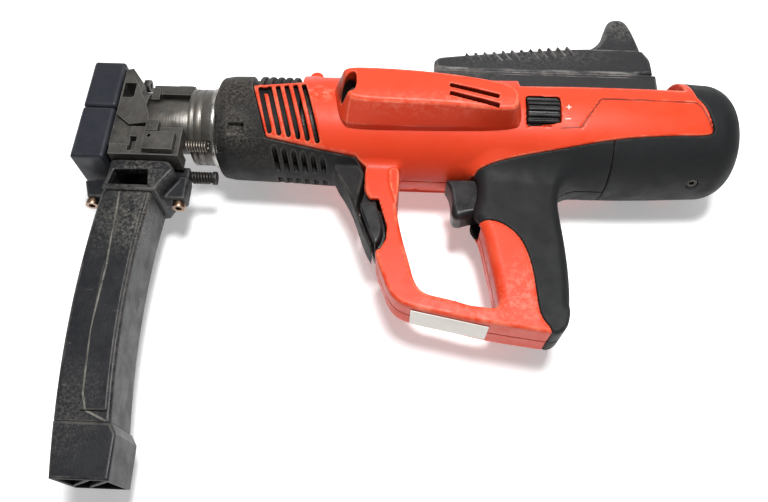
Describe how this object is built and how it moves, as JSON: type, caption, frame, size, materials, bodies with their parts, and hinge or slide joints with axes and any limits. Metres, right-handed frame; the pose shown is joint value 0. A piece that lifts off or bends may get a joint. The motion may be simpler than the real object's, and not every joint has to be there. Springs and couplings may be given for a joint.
{
  "type": "powder-actuated nail gun",
  "caption": "Powder-actuated construction nail gun with a curved nail magazine, loop handle, sliding cocking grip and press-in barrel, lying on its side.",
  "frame": {"origin": "centre of the muzzle bore at the front face of the nose", "axes": "+X along the tool axis towards the rear, +Y towards the top of the tool, +Z towards its left side, which faces up as it lies"},
  "size_m": [0.441, 0.3505, 0.1005],
  "materials": {
    "red_casing": "moulded, lightly scuffed",
    "black_sleeve": "rough, dusty",
    "soft_cover": "fine matt grain",
    "slide_black": "moulded, worn edges",
    "magazine_black": "moulded, scraped",
    "nose_plastic": "clean satin",
    "control_black": "satin",
    "dark_steel": "worn, oily",
    "barrel_steel": "turned, dull",
    "bright_steel": "turned, bright",
    "spring_steel": "drawn wire",
    "black_oxide": "black oxide",
    "buffer_rubber": "matt",
    "copper_screw": "plated, rubbed",
    "blank_label": "printed film, blank"
  },
  "bodies": {
    "casing": {"casing_left": "red_casing", "casing_right": "red_casing", "front_sleeve": "black_sleeve", "front_guard": "black_sleeve", "side_cover": "red_casing", "slide_rail": "red_casing", "rear_cap": "soft_cover", "grip_cover_left": "soft_cover", "grip_cover_right": "soft_cover", "label_plate": "blank_label", "casing_screws": "black_oxide", "cap_screw": "black_oxide", "front_bearing": "bright_steel", "rear_bearing": "bright_steel", "return_spring": "spring_steel", "breech_block": "barrel_steel", "firing_spring": "spring_steel", "rear_buffer": "buffer_rubber", "cartridge_guide": "bright_steel", "wheel_axle": "bright_steel", "trigger_pin": "bright_steel", "trigger_spring": "spring_steel", "catch_pin": "bright_steel", "catch_spring": "spring_steel"},
    "barrel": {"front_tube": "barrel_steel", "piston_guide": "barrel_steel", "locking_rings": "bright_steel", "buffer_ring": "buffer_rubber", "nose_frame": "dark_steel", "nose_plate_upper": "nose_plastic", "nose_plate_lower": "nose_plastic", "fastener_guide": "barrel_steel", "top_bar": "dark_steel", "nose_bolts": "black_oxide", "latch_housing": "dark_steel", "latch_spring": "spring_steel", "lock_spring": "black_oxide", "magazine_head": "magazine_black", "magazine_body": "magazine_black", "magazine_cover": "magazine_black", "magazine_cap": "magazine_black", "magazine_screws": "copper_screw", "latch_rivets": "dark_steel", "pusher_spring": "spring_steel"},
    "latch": {"feed_latch": "dark_steel"},
    "plunger": {"lock_plunger": "black_oxide"},
    "follower": {"pusher": "bright_steel"},
    "piston": {"piston": "bright_steel", "piston_rings": "barrel_steel"},
    "slide": {"slide_shell": "slide_black", "slide_grip": "slide_black", "slide_pawl": "barrel_steel", "slide_screws": "black_oxide"},
    "wheel": {"power_wheel": "control_black"},
    "trigger": {"trigger": "control_black"},
    "sear": {"sear_bar": "barrel_steel"},
    "striker": {"firing_pin": "bright_steel"},
    "catch": {"release_catch": "control_black"}
  },
  "joints": [
    {"name": "barrel_press", "type": "slide", "parent": "casing", "child": "barrel", "axis": [1, 0, 0], "range_m": [0, 0.02], "stiffness_N_per_m": 1500, "springref_m": -0.012, "deforming": ["return_spring"]},
    {"name": "slide_cock", "type": "slide", "parent": "casing", "child": "slide", "axis": [-1, 0, 0], "range_m": [-0.005, 0.075]},
    {"name": "piston_stroke", "type": "slide", "parent": "barrel", "child": "piston", "axis": [-1, 0, 0], "range_m": [0, 0.076]},
    {"name": "power_turn", "type": "hinge", "parent": "casing", "child": "wheel", "pos_m": [0.3065, -0.0043, 0.03], "axis": [1, 0, 0], "range_deg": [-90, 45]},
    {"name": "trigger_pull", "type": "hinge", "parent": "casing", "child": "trigger", "pos_m": [0.271, -0.047, 0], "axis": [0, 0, 1], "range_deg": [0, 10], "stiffness_Nm_per_rad": 0.8, "springref_deg": -20.05, "deforming": ["trigger_spring"]},
    {"name": "sear_slide", "type": "slide", "parent": "casing", "child": "sear", "axis": [-1, 0, 0], "range_m": [0, 0.0026]},
    {"name": "striker_slide", "type": "slide", "parent": "casing", "child": "striker", "axis": [-1, 0, 0], "range_m": [0, 0.004], "stiffness_N_per_m": 400, "springref_m": -0.006, "deforming": ["firing_spring"]},
    {"name": "catch_press", "type": "hinge", "parent": "casing", "child": "catch", "pos_m": [0.197, -0.056, 0], "axis": [0, 0, 1], "range_deg": [0, 4], "stiffness_Nm_per_rad": 0.6, "springref_deg": -17.19, "deforming": ["catch_spring"]},
    {"name": "latch_slide", "type": "slide", "parent": "barrel", "child": "latch", "axis": [1, 0, 0], "range_m": [0, 0.003], "stiffness_N_per_m": 600, "springref_m": -0.004},
    {"name": "plunger_press", "type": "slide", "parent": "barrel", "child": "plunger", "axis": [-1, 0, 0], "range_m": [0, 0.005], "stiffness_N_per_m": 500, "springref_m": -0.004, "deforming": ["lock_spring"]},
    {"name": "follower_travel", "type": "hinge", "parent": "barrel", "child": "follower", "pos_m": [0.7085, -0.1175, 0], "axis": [0, 0, 1], "range_deg": [0, 7.2], "stiffness_Nm_per_rad": 4, "springref_deg": -68.75, "deforming": ["pusher_spring"]}
  ],
  "couplings": [
    {"joint": "sear_slide", "follows": "trigger_pull", "m_per_rad": 0.0145}
  ]
}
